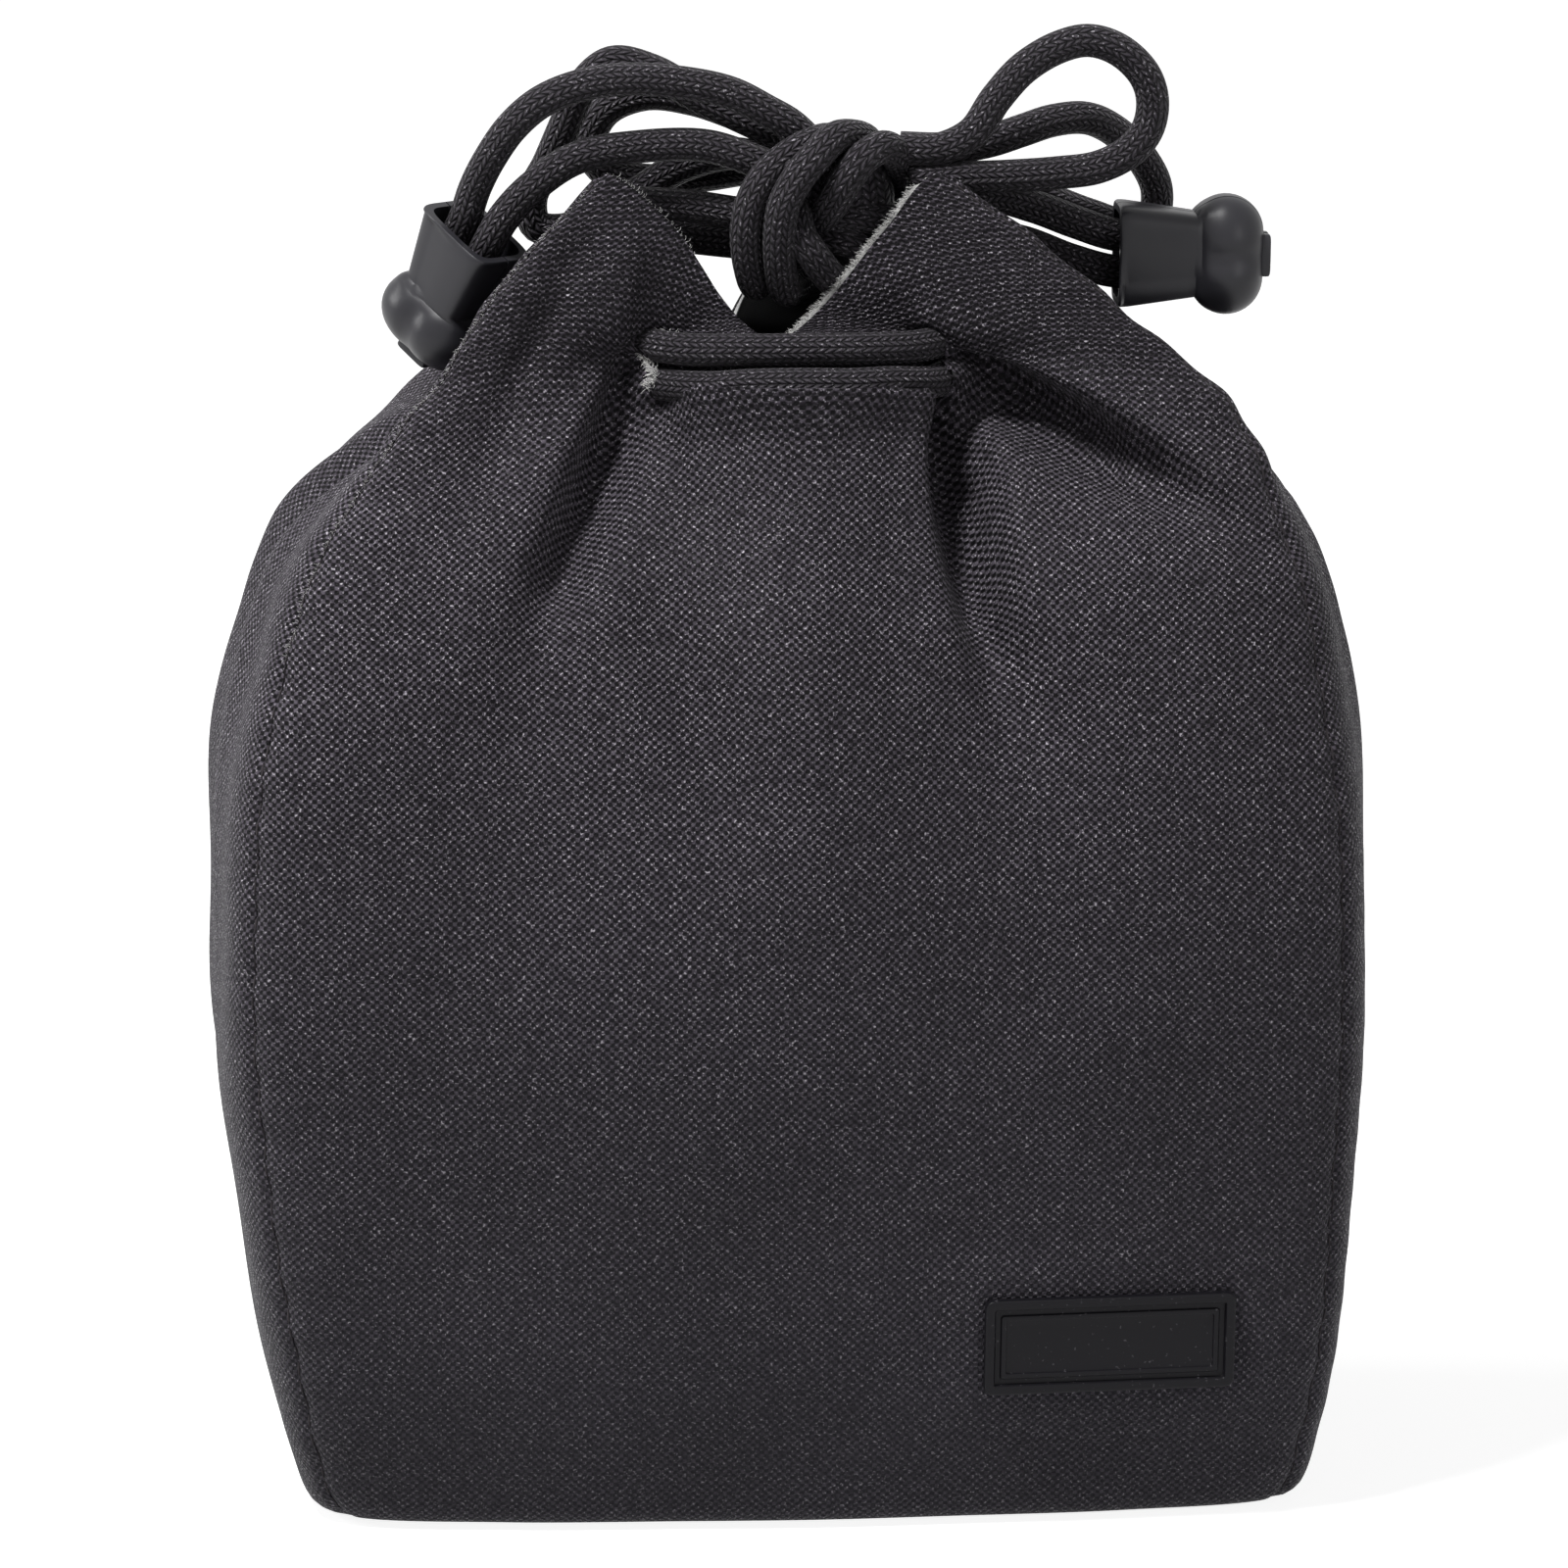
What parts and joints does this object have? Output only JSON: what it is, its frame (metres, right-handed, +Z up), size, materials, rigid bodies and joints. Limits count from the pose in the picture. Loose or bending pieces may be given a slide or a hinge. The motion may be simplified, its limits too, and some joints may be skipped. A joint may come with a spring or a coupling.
{
  "type": "lens pouch",
  "caption": "Soft padded drawstring pouch for a camera lens, boxy base, gathered mouth closed by two cords tied in a bow with clip-on cord ends.",
  "frame": {"origin": "centre of the flat underside of the base", "axes": "+Z up through the mouth, -Y the front panel with the label, +X the viewer's right when looking at the front"},
  "size_m": [0.1737, 0.106, 0.2222],
  "materials": {
    "shell_cloth": "coarse plain weave, matt black with small glints on the yarns",
    "batting": "white fluffy batting, showing only at raw edges",
    "lining_cloth": "smooth matt black lining",
    "braided_cord": "round braided cord with a herringbone of fine strands",
    "clip_plastic": "satin black moulding with fine grain",
    "label_rubber": "soft satin moulded rubber, left bare"
  },
  "bodies": {
    "pouch": {"front_shell": "shell_cloth", "right_shell": "shell_cloth", "back_shell": "shell_cloth", "left_shell": "shell_cloth", "base_shell": "shell_cloth", "front_padding": "batting", "right_padding": "batting", "back_padding": "batting", "left_padding": "batting", "base_padding": "batting", "front_lining": "lining_cloth", "right_lining": "lining_cloth", "back_lining": "lining_cloth", "left_lining": "lining_cloth", "base_lining": "lining_cloth", "label_patch": "label_rubber", "left_drawcord": "braided_cord", "right_drawcord": "braided_cord", "left_bow_loop_front": "braided_cord", "left_bow_loop_rear": "braided_cord", "right_bow_loop_outer": "braided_cord", "right_bow_loop_inner": "braided_cord", "left_tail_upper": "braided_cord", "left_tail_lower": "braided_cord", "right_tail_upper": "braided_cord", "right_tail_lower": "braided_cord", "bow_knot": "braided_cord", "left_cord_end_knot": "braided_cord", "right_cord_end_knot": "braided_cord", "left_clip_base": "clip_plastic", "right_clip_base": "clip_plastic"},
    "left_lid": {"left_clip_lid": "clip_plastic"},
    "right_lid": {"right_clip_lid": "clip_plastic"}
  },
  "joints": [
    {"name": "left_clip_hinge", "type": "hinge", "parent": "pouch", "child": "left_lid", "pos_m": [-0.05688, 0.00535, 0.17125], "axis": [0.5923, -0.6266, -0.5065], "range_deg": [0, 120]},
    {"name": "right_clip_hinge", "type": "hinge", "parent": "pouch", "child": "right_lid", "pos_m": [0.07205, 0.001, 0.18605], "axis": [0.0149, 0, 0.9999], "range_deg": [0, 120]}
  ]
}
